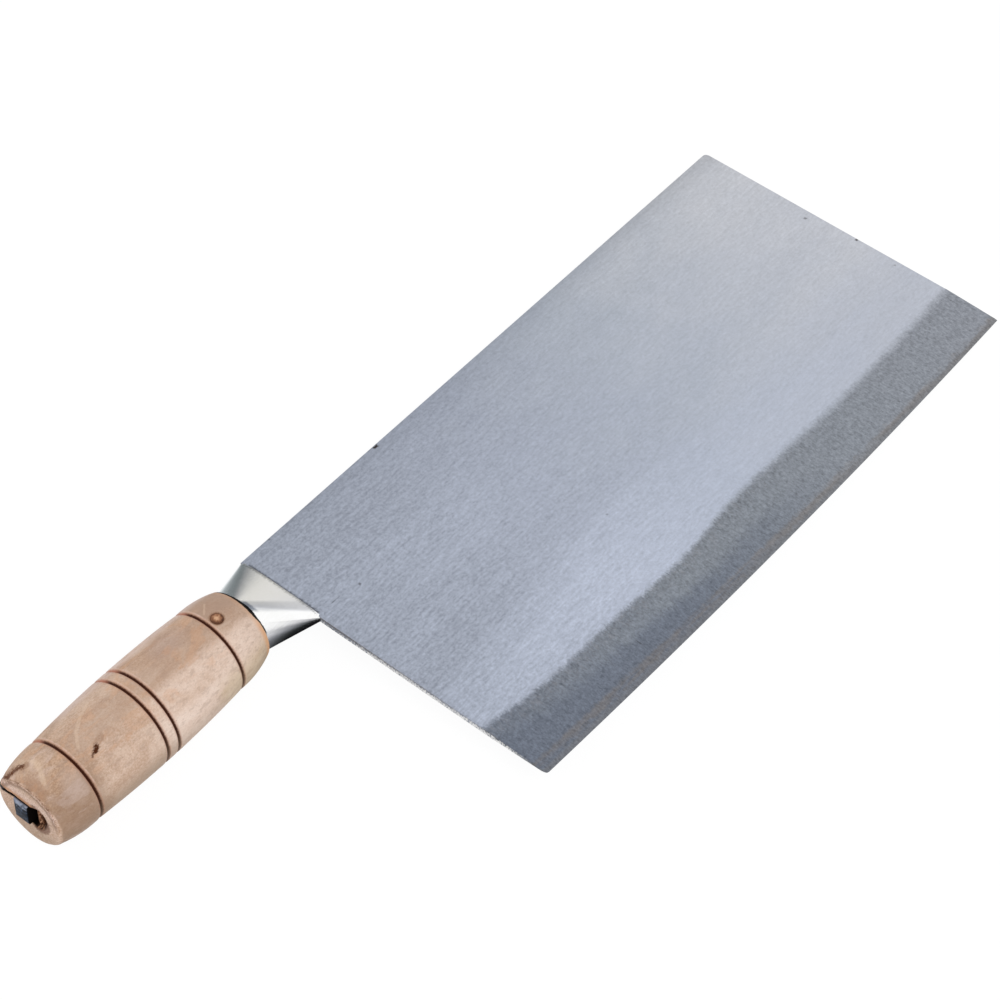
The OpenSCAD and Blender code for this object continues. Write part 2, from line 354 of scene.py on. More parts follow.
def add_object(name, bm, finish):
    mesh = bpy.data.meshes.new(name)
    bm.to_mesh(mesh)
    bm.free()
    mesh.materials.append(finish.block)
    made = bpy.data.objects.new(name, mesh)
    scene.collection.objects.link(made)
    return made


def lay_down(name, bm, finish, node, crease=35):
    """Places a finished piece on the knife and hands it to the frame."""
    bm.transform(knife)
    piece = add_object(name, bm, finish)
    piece.data.polygons.foreach_set("use_smooth", [True] * len(piece.data.polygons))
    piece.data.set_sharp_from_angle(angle=radians(crease))
    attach(piece, "root")
    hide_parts(node)


SPINE_STOPS = ((0, (156, 162, 175)), (0.35, (161, 167, 181)), (0.62, (174, 180, 191)),
               (1, (199, 201, 207)))
LOW_STOPS = ((0, (170, 177, 192)), (0.3, (184, 191, 207)), (0.5, (181, 188, 203)),
             (1, (186, 190, 200)))
BAND_STOPS = ((0, (119, 126, 138)), (0.35, (133, 139, 147)), (0.75, (140, 145, 153)),
              (1, (145, 149, 157)))
SLATE = (110, 117, 130)
FRINGE_DARK = (112, 109, 110)
STREAK_BROWN = (131, 123, 116)
EDGE_TONE = (122, 122, 124)
SPECK = (62, 58, 56)
LIP_SHADOW = (72, 74, 80)
HEEL_SHADE = (116, 112, 112)
HEEL_HIGHLIGHT = (240, 240, 240)
# Small dark marks: place on the blade, half lengths along and across it, and how dark each one is
SPECKS = (((56.2, 0.7), (0.9, 0.5), 1), ((15.7, 29.8), (0.5, 0.45), 0.6), ((79.3, 66.3), (0.4, 0.4), 0.4),
          ((211.8, 40.4), (0.6, 0.5), 0.55), ((214.5, 57.7), (0.5, 0.5), 0.9), ((213.2, 72.8), (0.4, 0.4), 0.4),
          ((49.6, 100.4), (0.22, 1.2), 0.6), ((7.2, 28.4), (2.2, 0.14), 0.5), ((11.4, 0.4), (0.5, 0.3), 0.5),
          ((30.5, 0.3), (0.5, 0.3), 0.35), ((58.6, 5), (0.3, 0.3), 0.3))
CHATTER_PLACE = (25, 22)
CHATTER_HALF = (12, 9)
CHATTER_STEP = 3.7
# Place and half lengths of a painted shadow streak on the flank
SHADOW_STREAK_PLACE = (6, 66.5)
SHADOW_STREAK_HALF = (42, 7.5)


def steel_finish(name):
    """Satin steel: fine lines along the flank, lines across the ground bevel, a brown streak over it."""
    finish = Finish(name, {})
    x, y, z = finish.axes()
    depth = 0 - y
    ground = finish.attribute("ground")
    edge_height = finish.attribute("edge_height")
    lines = finish.grain((0.2, 1.05, 1.05), 3, 0.7)
    grit = finish.grain((0.85, 0.95, 0.95), 3, 0.8, (3, 5, 0))
    smoulder = finish.grain((0.06, 0.17, 0.17), 4, 0.65, (5, 5, 0))
    blotch = finish.grain((1.1, 0.45, 0.45), 3, 0.75, (7, 4, 0))
    sweep = finish.grain((0.014, 0.14, 0.14), 3, 0.55, (9, 1, 0))
    cloud = finish.grain((0.05, 0.07, 0.07), 3, 0.6, (2, 6, 0))
    across = finish.grain((2, 0.75, 0.75), 3, 0.75, (1, 8, 0))
    smear = finish.grain((0.3, 0.05, 0.05), 4, 0.6, (6, 1, 0))
    fringe = finish.grain((0.45, 0.2, 0.2), 3, 0.6, (4, 2, 0))
    tooth = finish.grain((2.6, 1, 1), 3, 0.7, (8, 2, 0))
    uneven = x * (1 / BLADE_LENGTH) + cloud.sway(0.25)
    level = depth + sweep.sway(15)
    down = level.rise(10, 40) * 0.35 + (level - x.rise(70, 0) * 5).rise(56, 80) * 0.65
    flank = finish.ramp(uneven, SPINE_STOPS).coated((finish.ramp(uneven, LOW_STOPS), down))
    ragged = ground + fringe.sway(2.4) + tooth.sway(3.6)
    slate = (ragged - 3.2 - x * 0.04 + smear.sway(7)).rise(0, 5) * x.rise(150, 60)
    sooty = (ragged - 2).near(0.6, 4.4) * blotch.rise(0.49, 0.63) * (0.08 + x.rise(160, 80) * 0.24)
    dark_rim = (ragged - 2).near(0.4, 3.8) * (0.01 + x.rise(150, 90) * 0.02) + sooty
    streak = (edge_height - 3.6 + x * 0.012 + fringe.sway(3)).near(0.3, 2)
    streak = streak * finish.grain((0.05, 0.4, 0.4), 3, 0.6, (0, 3, 2)).rise(0.34, 0.62)
    band = finish.ramp(uneven, BAND_STOPS).coated(
        (SLATE, slate * 0.85), (FRINGE_DARK, dark_rim), (STREAK_BROWN, streak * 0.5),
        (EDGE_TONE, edge_height.rise(2.4, 0.8) * 0.6))
    far = x.rise(85, 150)
    mask = ragged.rise(far * -0.6 - 1.2, far * 1.2 + 1.2)
    coarse = (2.15 - x * 0.0098).larger(0.92) * (1 - down * 0.16)
    marks = (lines.sway(0.4) + grit.sway(0.56)) * coarse * (1 - mask)
    marks = marks + (across.sway(1.3) + grit.sway(1)) * mask
    marks = marks + blotch.sway(1.3) * mask * ragged.rise(5.5, 2.5) * x.rise(160, 90)

    def within(down, middle, half):
        """1 in the middle of a patch and 0 from its outline on."""
        off_x, off_y = (x - middle[0]) / half[0], (down - middle[1]) / half[1]
        return (1 - (off_x * off_x + off_y * off_y)).larger(0)

    chatter = (x * (2 * pi / CHATTER_STEP)).wave() * within(depth, CHATTER_PLACE, CHATTER_HALF)
    # Painted shadow streak: the flank darkened a little in a long patch near the heel
    painted_shadow_streak = within(level, SHADOW_STREAK_PLACE, SHADOW_STREAK_HALF)
    strength = 1.012 + marks + (sweep - 0.5) * (0.07 + x.rise(110, 30) * 0.13)
    strength = strength + chatter * 0.045 - painted_shadow_streak * 0.035
    strength = strength + (smoulder - 0.5) * x.rise(120, 40) * 0.13 * (1 - mask)
    grey = finish.node("CombineColor", None, {0: strength, 1: strength, 2: strength})
    tone = finish.blend(1, flank.coated((band, mask)), grey, "MULTIPLY")
    rim = x.smaller(depth * 1.6).smaller(BLADE_LENGTH - x) + grit.sway(1.2)
    tone = tone.coated((SPECK, rim.rise(1.1, 0.2) * (0.07 - x.rise(30, 90) * 0.06)))
    for (speck_x, speck_v), (half_x, half_v), darkness in SPECKS:
        off = (abs(x - speck_x) / half_x).larger(abs(depth - speck_v) / half_v)
        spot = (1 - (off + grit.sway(1.4)).rise(0.4, 1.2)) * darkness
        tone = tone.coated((SPECK, spot * z.rise(0, 0.2)))
    # Painted shadow of the bolster's lip on the flank: a ragged dark line along the heel
    lip_shadow = (x + tooth.sway(1.5) + grit.sway(0.9)).rise(1.75, 0.95)
    lip_shadow = lip_shadow * depth.rise(1.8, 2.6) * depth.rise(28.2, 27.4)
    # The heel's end was cut across: painted shade above, and below it a painted highlight, ragged like a burr
    # that catches the light
    highlight_grain = finish.grain((1, 2.4, 0.9), 2, 0.7, (0, 0, 5))
    heel = x.rise(0.05, 0.01)
    shaded = heel * z.rise(-0.2, 0.7) * (0.75 - depth.rise(40, 92) * 0.55)
    # Painted highlight: the lower part of the heel's end made pale and dull
    bright = (highlight_grain + (0 - z) * 0.1 + depth.rise(38, 50) * 0.12).rise(0.56, 0.64) * z.rise(0.9, 0.3)
    bright = heel * bright * depth.rise(105, 94)
    height = lines * (1 - mask) + across * mask
    finish.paint(base_color=tone.coated((LIP_SHADOW, lip_shadow * 0.8), (HEEL_SHADE, shaded), (HEEL_HIGHLIGHT, bright)),
                 roughness=0.4 + grit.sway(0.2) + mask * 0.04,
                 metallic=1 - (heel * 0.7).larger(bright),
                 normal=finish.relief(height, 0.00001))
    return finish


cladding_finish = steel_finish("satin cladding steel")
core_finish = steel_finish("hard core steel")

for side in ("right", "left"):
    flank = layer(cladding_rows, lambda x, v: HALF_CORE, half_thickness)
    soften_outline(flank)
    if side == "left":
        bmesh.ops.scale(flank, vec=(1, 1, -1), verts=flank.verts)
        bmesh.ops.reverse_faces(flank, faces=flank.faces)
    lay_down(side + "_flank", flank, cladding_finish, side + "_cladding")

core = layer(core_rows, lambda x, v: -min(HALF_CORE, half_thickness(x, v)),
             lambda x, v: min(HALF_CORE, half_thickness(x, v)))
lay_down("core_layer", core, core_finish, "blade_core")

# The tang is a forged bar that forks over the blade's tongue and runs through the whole handle. Its
# end stands out of the butt, sheared off and hammered round at its edges.
HALF_TANG = 3.2
TANG_END = -96.5
TANG_TAPER_END = -48
TANG_OUTLINE = ((-TONGUE, -9.3), (-29, -9.3), (TANG_TAPER_END, -8.95), (TANG_END, -8.95),
                (TANG_END, -14.05), (TANG_TAPER_END, -14.05), (-29, -18.3), (-TONGUE, -18.3))
TANG_PRONG = 9
# The last millimetres were hammered: drawn deeper towards the table, and a little back there
HAMMERED_FROM = -89
HAMMERED_DEEPER = 1
HAMMERED_BACK = 0.06
HAMMERED_ROUND = 0.55


def prism(outline, low, high):
    """An outline in the knife's plane, drawn up from one height to another."""
    bm = bmesh.new()
    base = bm.faces.new([bm.verts.new((x, y, low)) for x, y in outline])
    risen = bmesh.ops.extrude_face_region(bm, geom=[base])
    bmesh.ops.translate(bm, vec=(0, 0, high - low), verts=verts_of(risen))
    bmesh.ops.recalc_face_normals(bm, faces=bm.faces)
    return bm


def cut_across(bm, place, facing):
    bmesh.ops.bisect_plane(bm, geom=bm.verts[:] + bm.edges[:] + bm.faces[:], dist=1e-5, plane_co=place,
                           plane_no=facing)


bar = prism(TANG_OUTLINE, -HALF_TANG, HALF_TANG)
for cut in (-HALF_BLADE, HALF_BLADE):
    cut_across(bar, (0, 0, cut), (0, 0, 1))
fork = [face for face in bar.faces if face.calc_center_median().x > -TONGUE - 0.01
        and abs(face.calc_center_median().z) > HALF_BLADE]
for face in fork:
    prong = bmesh.ops.extrude_discrete_faces(bar, faces=[face])["faces"]
    bmesh.ops.translate(bar, vec=(TANG_PRONG, 0, 0), verts=prong[0].verts)
cut_across(bar, (HAMMERED_FROM, 0, 0), (1, 0, 0))
for vert in bar.verts:
    if vert.co.x < TANG_END + 0.5 and vert.co.z < -HALF_TANG + 0.01:
        vert.co.z -= HAMMERED_DEEPER
        vert.co.x += HAMMERED_BACK
bar.normal_update()
bevel(bar, [edge for edge in bar.edges if all(vert.co.x < TANG_END + 0.1 for vert in edge.verts)
            and edge.calc_face_angle(0) > SHARP_CORNER], HAMMERED_ROUND, 3)
TANG_STOPS = ((0.3, (8, 11, 17)), (0.5, (24, 31, 44)), (0.7, (70, 84, 106)))
TANG_HIGHLIGHT = (186, 194, 214)
TANG_SOOT_AND_SHADE = (16, 13, 12)


def tang_finish():
    """Dark forge scale with a painted highlight over its top; sooty where it touches the wood, and with painted
    shade on the side beside the slot's gap.
    """
    finish = Finish("forged tang steel", {"Specular IOR Level": 0})
    x, y, z = finish.axes()
    scale = finish.grain((0.9, 0.9, 0.9), 4, 0.75)
    # Painted highlight: the top of the tang's end made paler and more metallic
    top_highlight = (z + scale.sway(6)).rise(1.4, 3.2)
    # Soot where the tang enters the wood, and painted shade on its side next to the gap in the slot
    sooty = x.rise(TANG_END + 0.4, TANG_END + 0.9).larger(y.rise(-13.65, -13.95))
    tone = finish.ramp(scale, TANG_STOPS).coated((TANG_HIGHLIGHT, top_highlight * 0.62), (TANG_SOOT_AND_SHADE, sooty))
    finish.paint(base_color=tone, roughness=0.28 + scale * 0.3 + sooty * 0.4,
                 metallic=0.5 + top_highlight * 0.4 - sooty * 0.45, normal=finish.relief(scale, 0.0001))
    return finish


lay_down("forged_tang", bar, tang_finish(), "tang")

# The bolster is a polished steel collar, pressed from a round skirt inside the handle to a flat mouth
# that closes on the heel. Two lips reach a little over the flanks.
AXIS_DROP = 13.6
RING_SIDES = 192
RING_CROWDING = 0.42
MOUTH_SQUARENESS = 3.3
SKIRT_BACK = -28.5
FLARE_BACK = -16
FLARE_STEPS = 20
MOUTH_FACE = -0.05
MOUTH_WALL = 1
MOUTH_GAP = 0.05
COLLAR_RADIUS = 9.8
COLLAR_WALL = 1.4
MOUTH_WIDTH = 29.4
HALF_MOUTH = 2


def mouth_point(angle, width, half):
    """The point of the flat mouth that faces the same way as the collar's point at this angle."""
    facing = Vector((abs(cos(angle)) * width / 2, abs(sin(angle)) * half))
    power = 1 / (MOUTH_SQUARENESS - 1)
    size = (facing.x ** (power + 1) + facing.y ** (power + 1)) ** (1 / MOUTH_SQUARENESS)
    y = width / 2 * facing.x ** power / size
    z = half * facing.y ** power / size
    return Vector((0, -MOUTH_WIDTH / 2 + copysign(y, cos(angle)), copysign(z, angle)))


def collar_ring(share, x, radius, width, half):
    """One ring between the round collar, share 0, and the flat mouth, share 1."""
    ring = []
    for side in range(RING_SIDES):
        turn = -pi + 2 * pi * (side + 0.5) / RING_SIDES
        angle = turn + RING_CROWDING * sin(2 * turn)
        point = Vector((0, -AXIS_DROP + radius * cos(angle), radius * sin(angle)))
        point = point.lerp(mouth_point(angle, width, half), share)
        ring.append(Vector((x, point.y, point.z)))
    return ring


def edges_around(bm, ring):
    return [bm.edges.get(pair) for pair in zip(ring, ring[1:] + ring[:1])]


def grow_ring(bm, ring, points):
    """Extrudes a closed ring of vertices and sets the new ones on the points."""
    grown = set(verts_of(bmesh.ops.extrude_edge_only(bm, edges=edges_around(bm, ring))))
    new_ring = [next(edge.other_vert(old) for edge in old.link_edges if edge.other_vert(old) in grown)
                for old in ring]
    for vert, point in zip(new_ring, points):
        vert.co = point
    return new_ring


outer = (COLLAR_RADIUS, MOUTH_WIDTH, HALF_MOUTH)
inner = (COLLAR_RADIUS - COLLAR_WALL, MOUTH_WIDTH - 2 * COLLAR_WALL, HALF_BLADE + MOUTH_GAP)
collar_rings = [collar_ring(0, x, *outer) for x in (SKIRT_BACK, -22, -18)]
for count in range(FLARE_STEPS + 1):
    share = count / FLARE_STEPS
    collar_rings.append(collar_ring(share, FLARE_BACK + (MOUTH_FACE - FLARE_BACK) * share, *outer))
for share, x in ((1, MOUTH_FACE), (1, MOUTH_FACE - MOUTH_WALL), (0, FLARE_BACK), (0, SKIRT_BACK)):
    collar_rings.append(collar_ring(share, x, *inner))

collar = bmesh.new()
ring_verts = bmesh.ops.create_circle(collar, cap_ends=False, segments=RING_SIDES, radius=1)["verts"]
first_ring = sorted(ring_verts, key=lambda vert: atan2(vert.co.y, vert.co.x))
for vert, point in zip(first_ring, collar_rings[0]):
    vert.co = point
last_ring = first_ring
for ring in collar_rings[1:]:
    last_ring = grow_ring(collar, last_ring, ring)
bmesh.ops.bridge_loops(collar, edges=edges_around(collar, first_ring) + edges_around(collar, last_ring))
LIP_REACH = 0.6
LIP_FALL = 0.3
LIP_ROOT = HALF_BLADE + 0.1
for side in (1, -1):
    rim_points = [point for point in collar_ring(1, MOUTH_FACE, *outer) if point.z * side > LIP_ROOT]
    chord = [Vector((MOUTH_FACE, rim_points[place].y, side * (HALF_BLADE + MOUTH_GAP))) for place in (-1, 0)]
    base = collar.faces.new([collar.verts.new(point) for point in rim_points + chord])
    for vert in verts_of(bmesh.ops.extrude_face_region(collar, geom=[base])):
        vert.co.x = LIP_REACH
        vert.co.y = -MOUTH_WIDTH / 2 + (vert.co.y + MOUTH_WIDTH / 2) * (1 - 2 * LIP_FALL / MOUTH_WIDTH)
        if abs(vert.co.z) > LIP_ROOT:
            vert.co.z -= side * min(LIP_FALL, abs(vert.co.z) - LIP_ROOT)
bmesh.ops.recalc_face_normals(collar, faces=collar.faces)
COLLAR_STOPS = ((0.3, (248, 248, 246)), (0.6, (255, 255, 255)))
COLLAR_DARK_REFLECTION = (100, 109, 124)
COLLAR_CRESCENT_SHADE = (10, 8, 7)
MOUTH_SHADE = (92, 94, 96)


def bolster_finish():
    """Polished steel, with painted shade beside the wood, a painted dark reflection along its top and painted
    shade at the mouth.
    """
    finish = Finish("polished bolster steel", {"Metallic": 1})
    x, y, z = finish.axes()
    buffing = finish.grain((0.22, 1.8, 1.8), 3, 0.6)
    haze = finish.grain((0.14, 0.14, 0.14), 3, 0.6, (4, 0, 2))
    front_x = x - FLARE_BACK
    # Painted dark reflection along the top of the flare, strongest near the wood
    dark_reflection_band = y + AXIS_DROP + front_x * 0.59 + buffing.sway(0.8)
    dark_reflection_x = front_x + haze.sway(1) + buffing.sway(1)
    painted_dark_reflection = dark_reflection_x.rise(3.6, 2.5) * 0.5 + dark_reflection_x.rise(15, 4) * 0.2 + 0.16
    painted_dark_reflection = painted_dark_reflection * dark_reflection_band.rise(2.2, 0.4) * dark_reflection_band.rise(-4.1, -2.4)
    # Painted shade in a crescent on the collar, right beside the wood, over its upper side
    crescent_shade_end = z.rise(9.4, 7.4) * -0.6 + buffing.sway(0.5) - 14.15
    crescent_shade = (x - crescent_shade_end).rise(0.12, -0.12) * z.rise(2.5, 4.5)
    teeth = finish.grain((0.7, 2.6, 0.7), 2, 0.7, (1, 1, 1))
    mouth = (x + teeth.sway(2.4)).rise(-0.7, 0.5) * z.rise(1.2, 1.6)
    tone = finish.ramp(buffing * 0.5 + haze * 0.5, COLLAR_STOPS).coated(
        (COLLAR_DARK_REFLECTION, painted_dark_reflection * z.rise(0.5, 1.5)), (COLLAR_CRESCENT_SHADE, crescent_shade), (MOUTH_SHADE, mouth * 0.55))
    finish.paint(base_color=tone, roughness=0.1 + buffing * 0.08 + haze * 0.04 + crescent_shade * 0.5,
                 normal=finish.relief(buffing, 0.00001))
    return finish


lay_down("polished_bolster", collar, bolster_finish(), "bolster", 50)

# The handle is turned from one piece of pale hardwood, with four grooves burnt in while it spun. It is
# bored for the bolster's skirt, slotted for the tang and left bare.
HANDLE_FRONT = -15.5
HANDLE_BACK = -95.5
GROOVES = (-28.1, -54.1, -58.3, -82.3)
# Across a groove: distance from its middle and how deep it is there
GROOVE_SECTION = ((0.8, 0), (0.62, 0.03), (0.48, 0.14), (0.3, 0.42), (0.12, 0.74), (0, 0.8),
                  (-0.12, 0.74), (-0.3, 0.42), (-0.48, 0.14), (-0.62, 0.03), (-0.8, 0))
FRONT_RIM = 11.3
BUTT_RIM = 11.63
FRONT_GROOVE = 13.3
BUTT_GROOVE = 13.2
BELLY_RISES = (0.5, 1, 0.62)
SOCKET_RADIUS = 10
SOCKET_BACK = -28.7
PIN_PLACE = Vector((-24.9, -14.8, 0))
PIN_RADIUS = 1.85
SPIN_STEPS = 256
MOUTH_ROUNDING = 0.2
RIM_ROUNDING = 0.6
RIM_CREST = 0.1
FRONT_EASE = 0.5
BUTT_ROUNDING = 1.5


def arc(start, end, rise, steps):
    """Points of an arc, as (x, radius), that stands out by rise over the line from start to end."""
    a, b = Vector(start), Vector(end)
    chord = (b - a).length
    radius = (chord * chord / 4 + rise * rise) / (2 * rise)
    along = (b - a) / chord
    out = Vector((-along.y, along.x))
    centre = (a + b) / 2 + (rise - radius) * out
    half = asin(chord / 2 / radius)
    points = []
    for count in range(steps + 1):
        t = half * (2 * count / steps - 1)
        points.append(centre + radius * (sin(t) * along + cos(t) * out))
    return points


def turned_radius(x):
    for a, b in zip(outline, outline[1:]):
        if a.x <= x <= b.x:
            return a.y + (b.y - a.y) * (x - a.x) / (b.x - a.x)
    return outline[0].y if x < outline[0].x else outline[-1].y


def rounded(centre_x, centre_radius, size, start, steps, crest=0):
    """Points of a quarter turn around a centre, from a starting angle on, without its first point."""
    turns = [radians(start + 90 * count / steps) for count in range(1, steps + 1)]
    return [Vector((centre_x + size * cos(t), centre_radius + (size + crest) * sin(t))) for t in turns]


outline = (arc((HANDLE_BACK + BUTT_ROUNDING, BUTT_RIM), (GROOVES[3], BUTT_GROOVE), BELLY_RISES[0], 24)[:-1]
           + arc((GROOVES[3], BUTT_GROOVE), (GROOVES[0], FRONT_GROOVE), BELLY_RISES[1], 70)[:-1]
           + arc((GROOVES[0], FRONT_GROOVE), (HANDLE_FRONT - FRONT_EASE, FRONT_RIM + 0.12), BELLY_RISES[2],
                 28))
grooved = [point for point in reversed(outline) if point.x < HANDLE_FRONT - FRONT_EASE - 0.2
           and all(abs(point.x - groove) > GROOVE_SECTION[0][0] for groove in GROOVES)]
for groove in GROOVES:
    for offset, deep in GROOVE_SECTION:
        grooved.append(Vector((groove + offset, turned_radius(groove + offset) - deep)))
profile = [Vector((SOCKET_BACK, SOCKET_RADIUS)), Vector((HANDLE_FRONT - 0.3, SOCKET_RADIUS)),
           Vector((HANDLE_FRONT - MOUTH_ROUNDING, SOCKET_RADIUS)),
           *rounded(HANDLE_FRONT - MOUTH_ROUNDING, SOCKET_RADIUS + MOUTH_ROUNDING, MOUTH_ROUNDING, -90, 4),
           Vector((HANDLE_FRONT, FRONT_RIM - RIM_ROUNDING)),
           *rounded(HANDLE_FRONT - RIM_ROUNDING, FRONT_RIM - RIM_ROUNDING, RIM_ROUNDING, 0, 6, RIM_CREST),
           *sorted(grooved, key=lambda point: -point.x),
           *rounded(HANDLE_BACK + BUTT_ROUNDING, BUTT_RIM - BUTT_ROUNDING, BUTT_ROUNDING, 90, 8)]


def spun(points, centre, axis, steps):
    """A chain of points turned once around an axis."""
    bm = bmesh.new()
    chain = [bm.verts.new(point) for point in points]
    edges = [bm.edges.new(pair) for pair in zip(chain, chain[1:])]
    bmesh.ops.spin(bm, geom=chain + edges, cent=centre, axis=axis, dvec=(0, 0, 0), angle=2 * pi,
                   steps=steps, use_merge=True, use_duplicate=False)
    bmesh.ops.remove_doubles(bm, verts=bm.verts, dist=1e-4)
    return bm


wood = spun([(point.x, -AXIS_DROP + point.y, 0) for point in profile], (0, -AXIS_DROP, 0), (1, 0, 0),
            SPIN_STEPS)


def loop_at(bm, x, radius):
    """The edges of a ring around the handle's centre line."""
    return [edge for edge in bm.edges if all(
        abs(vert.co.x - x) < 1e-3 and abs(hypot(vert.co.y + AXIS_DROP, vert.co.z) - radius) < 1e-3
        for vert in edge.verts)]


# The butt is slotted for the tang, chiselled out beside it for the shim, and split from there to the rim
SLOT_OUTLINE = ((-4.6, 3.3), (-2, 3.35), (0.6, 3.3), (1.8, 3.9), (3.2, 4.6), (4.6, 4.5), (5.8, 3.7),
                (6.6, 2), (6.8, 0), (6.2, -2), (5, -3.8), (3.6, -4.9), (2, -5.1), (0.6, -4.5),
                (-2, -4.5), (-4.6, -4.5), (-4.75, 0), (-4.72, 2.5), (-5.8, 2.5), (-7.1, 2),
                (-8.3, 2.3), (-9.3, 1.7), (-9.4, 2.4), (-8.5, 3.2), (-7.2, 3.1), (-5.7, 3.6))
CRACK_FROM = 17
TANG_MIDDLE = -1.7
# Half height, middle and half thickness of the slot's inside, behind and at the bolster's skirt
SLOT_BACK = (2.67, -11.5, 3.32)
SLOT_FRONT = (4.62, -13.8, 3.32)
SLOT_STEPS = ((-94.9, SLOT_BACK, 0.12), (-93, SLOT_BACK, 0.35), (-88, SLOT_BACK, 0.6), (-82.5, SLOT_BACK, 1),
              (-48, SLOT_BACK, 1), (-29.5, SLOT_FRONT, 1), (SOCKET_BACK, SLOT_FRONT, 1))
slot_loop = [wood.verts.new((HANDLE_BACK, -AXIS_DROP - dv, z)) for dv, z in SLOT_OUTLINE]
slot_edges = [wood.edges.new(pair) for pair in zip(slot_loop, slot_loop[1:] + slot_loop[:1])]
bmesh.ops.triangle_fill(wood, use_beauty=True, normal=(-1, 0, 0),
                        edges=slot_edges + loop_at(wood, HANDLE_BACK, BUTT_RIM - BUTT_ROUNDING))


def slot_angle(index):
    """Where around the tang a point of the slot's outline is drawn in to; the crack closes at its corner."""
    last = min(index, CRACK_FROM)
    dv, z = SLOT_OUTLINE[last]
    angle = atan2(z, TANG_MIDDLE - dv)
    if index > CRACK_FROM:
        corner = atan2(SLOT_OUTLINE[0][1], TANG_MIDDLE - SLOT_OUTLINE[0][0])
        angle += (corner - angle) * (index - CRACK_FROM) / (len(SLOT_OUTLINE) - CRACK_FROM)
    return angle


def slot_ring(x, section, mix):
    """The slot's outline drawn in towards the tang's own section."""
    half_y, middle_y, half_z = section
    points = []
    for index, (dv, z) in enumerate(SLOT_OUTLINE):
        angle = slot_angle(index)
        reach = min(half_y / max(abs(cos(angle)), 1e-6), half_z / max(abs(sin(angle)), 1e-6))
        tight = Vector((x, middle_y + reach * cos(angle), reach * sin(angle)))
        points.append(Vector((x, -AXIS_DROP - dv, z)).lerp(tight, mix))
    return points


last_loop = slot_loop
for slot_step in SLOT_STEPS:
    last_loop = grow_ring(wood, last_loop, slot_ring(*slot_step))
bmesh.ops.triangle_fill(wood, use_beauty=True, normal=(1, 0, 0),
                        edges=edges_around(wood, last_loop) + loop_at(wood, SOCKET_BACK, SOCKET_RADIUS))
bmesh.ops.recalc_face_normals(wood, faces=wood.faces)

CHIP_START = Vector((-74.6, -5.4))
CHIP_END = Vector((-77.2, -6.3))
CHIP_DEEP = 0.18
# How far the turned shape is off a true one, and the depth and reach of its wear, in millimetres
UNEVEN = 0.05
TOOL_MARKS = 0.012
PIN_SINK = (0.35, 2.15)
RIM_WEAR = (0.65, 3)
RIM_CHIPPING = 0.7
LOST_EDGE = (1.25, 5)
LOST_EDGE_TURN = (-62, 55)
RIM_DENTS = 0.18
CRACK_DEEP = 0.5
CRACK_TURN = (52.5, 3.5)
CRACK_PLACE = (-93.6, 1.8)


def tent(value, middle, reach):
    """1 at the middle, falling evenly to 0 at its reach."""
    return max(0, 1 - abs(value - middle) / reach)


def along_chip(x, dy):
    line = CHIP_END - CHIP_START
    point = Vector((x, dy)) - CHIP_START
    share = max(0, min(1, point.dot(line) / line.length_squared))
    return (point - line * share).length, share


for vert in wood.verts:
    x, dy, z = vert.co.x, vert.co.y + AXIS_DROP, vert.co.z
    radius = hypot(dy, z)
    if radius < SOCKET_RADIUS + 0.9 and x > HANDLE_BACK + 0.01 or radius < SOCKET_RADIUS:
        continue
    angle = atan2(z, dy)

    def bump(along, around):
        return noise.noise(Vector((x * along, cos(angle) * around, sin(angle) * around)))

    push = UNEVEN * bump(0.08, 1.2) + TOOL_MARKS * noise.noise(Vector((x * 2.5, 3, 1)))
    if z > 0:
        near_pin = hypot(x - PIN_PLACE.x, vert.co.y - PIN_PLACE.y)
        push -= PIN_SINK[0] * max(0, 1 - (near_pin / PIN_SINK[1]) ** 4)
        off, share = along_chip(x, dy)
        push -= CHIP_DEEP * max(0, 1 - (off / (0.65 - 0.3 * share)) ** 2)
    worn = tent(x, HANDLE_BACK, RIM_WEAR[1])
    turned = degrees(angle)
    upper = max(0, min(1, (z / radius - 0.25) * 2))
    push -= (RIM_WEAR[0] + RIM_CHIPPING * bump(0.35, 5)) * worn * upper
    push -= LOST_EDGE[0] * tent(x, HANDLE_BACK, LOST_EDGE[1]) * tent(turned, *LOST_EDGE_TURN)
    push -= worn * RIM_DENTS * abs(bump(0.6, 4))
    push -= CRACK_DEEP * tent(turned, *CRACK_TURN) * tent(x, *CRACK_PLACE)
    scale = (radius + push - 0.05) / radius
    vert.co.y = -AXIS_DROP + dy * scale
    vert.co.z = z * scale

WOOD_STOPS = ((0.25, (176, 142, 117)), (0.5, (199, 169, 147)), (0.75, (214, 190, 171)))
PALE_STOPS = ((0.25, (208, 180, 160)), (0.5, (224, 200, 184)), (0.75, (234, 214, 200)))
BUTT_STOPS = ((0.3, (156, 123, 97)), (0.7, (196, 164, 138)))
BUTT_LOW = (140, 110, 88)
UNDER_SHADE = (149, 125, 102)
